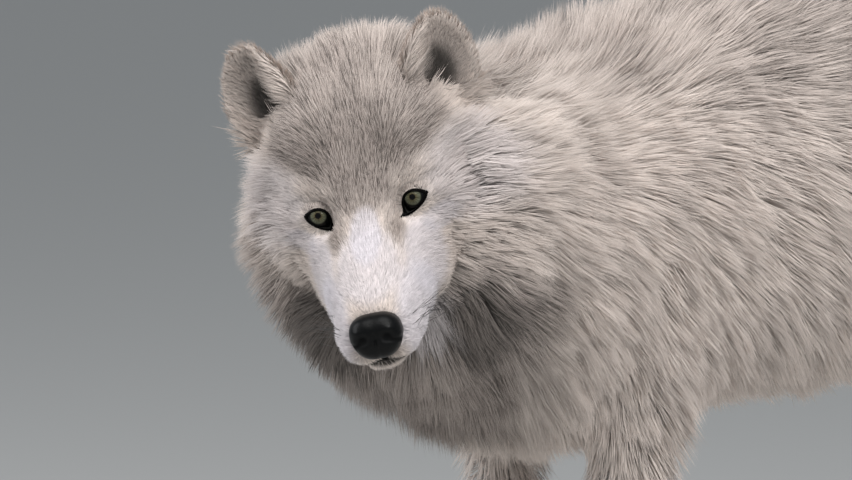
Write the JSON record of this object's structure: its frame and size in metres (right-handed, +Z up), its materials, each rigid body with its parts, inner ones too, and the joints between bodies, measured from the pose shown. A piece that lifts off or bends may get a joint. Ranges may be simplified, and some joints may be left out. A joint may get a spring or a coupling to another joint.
{
  "type": "arctic wolf",
  "caption": "Life-size still model of an arctic wolf standing in its thick pale winter coat, head carried low and turned to its left.",
  "frame": {"origin": "on the floor, under the middle of the animal's own box", "axes": "+Z up, the body faces -Y, the wolf's own left side is +X"},
  "size_m": [0.3624, 1.1288, 0.7449],
  "materials": {
    "coat": "long soft matt fur, cream over grey",
    "nose_leather": "black, pebbled, moist satin",
    "eye": "polished, pale olive iris"
  },
  "bodies": {
    "root": {"head": "coat", "neck": "coat", "trunk": "coat", "tail": "coat", "ear_left": "coat", "ear_right": "coat", "leg_fore_left": "coat", "leg_fore_right": "coat", "leg_hind_left": "coat", "leg_hind_right": "coat", "paw_fore_left": "coat", "paw_fore_right": "coat", "paw_hind_left": "coat", "paw_hind_right": "coat", "nose": "nose_leather", "eye_left": "eye", "eye_right": "eye"}
  },
  "joints": []
}
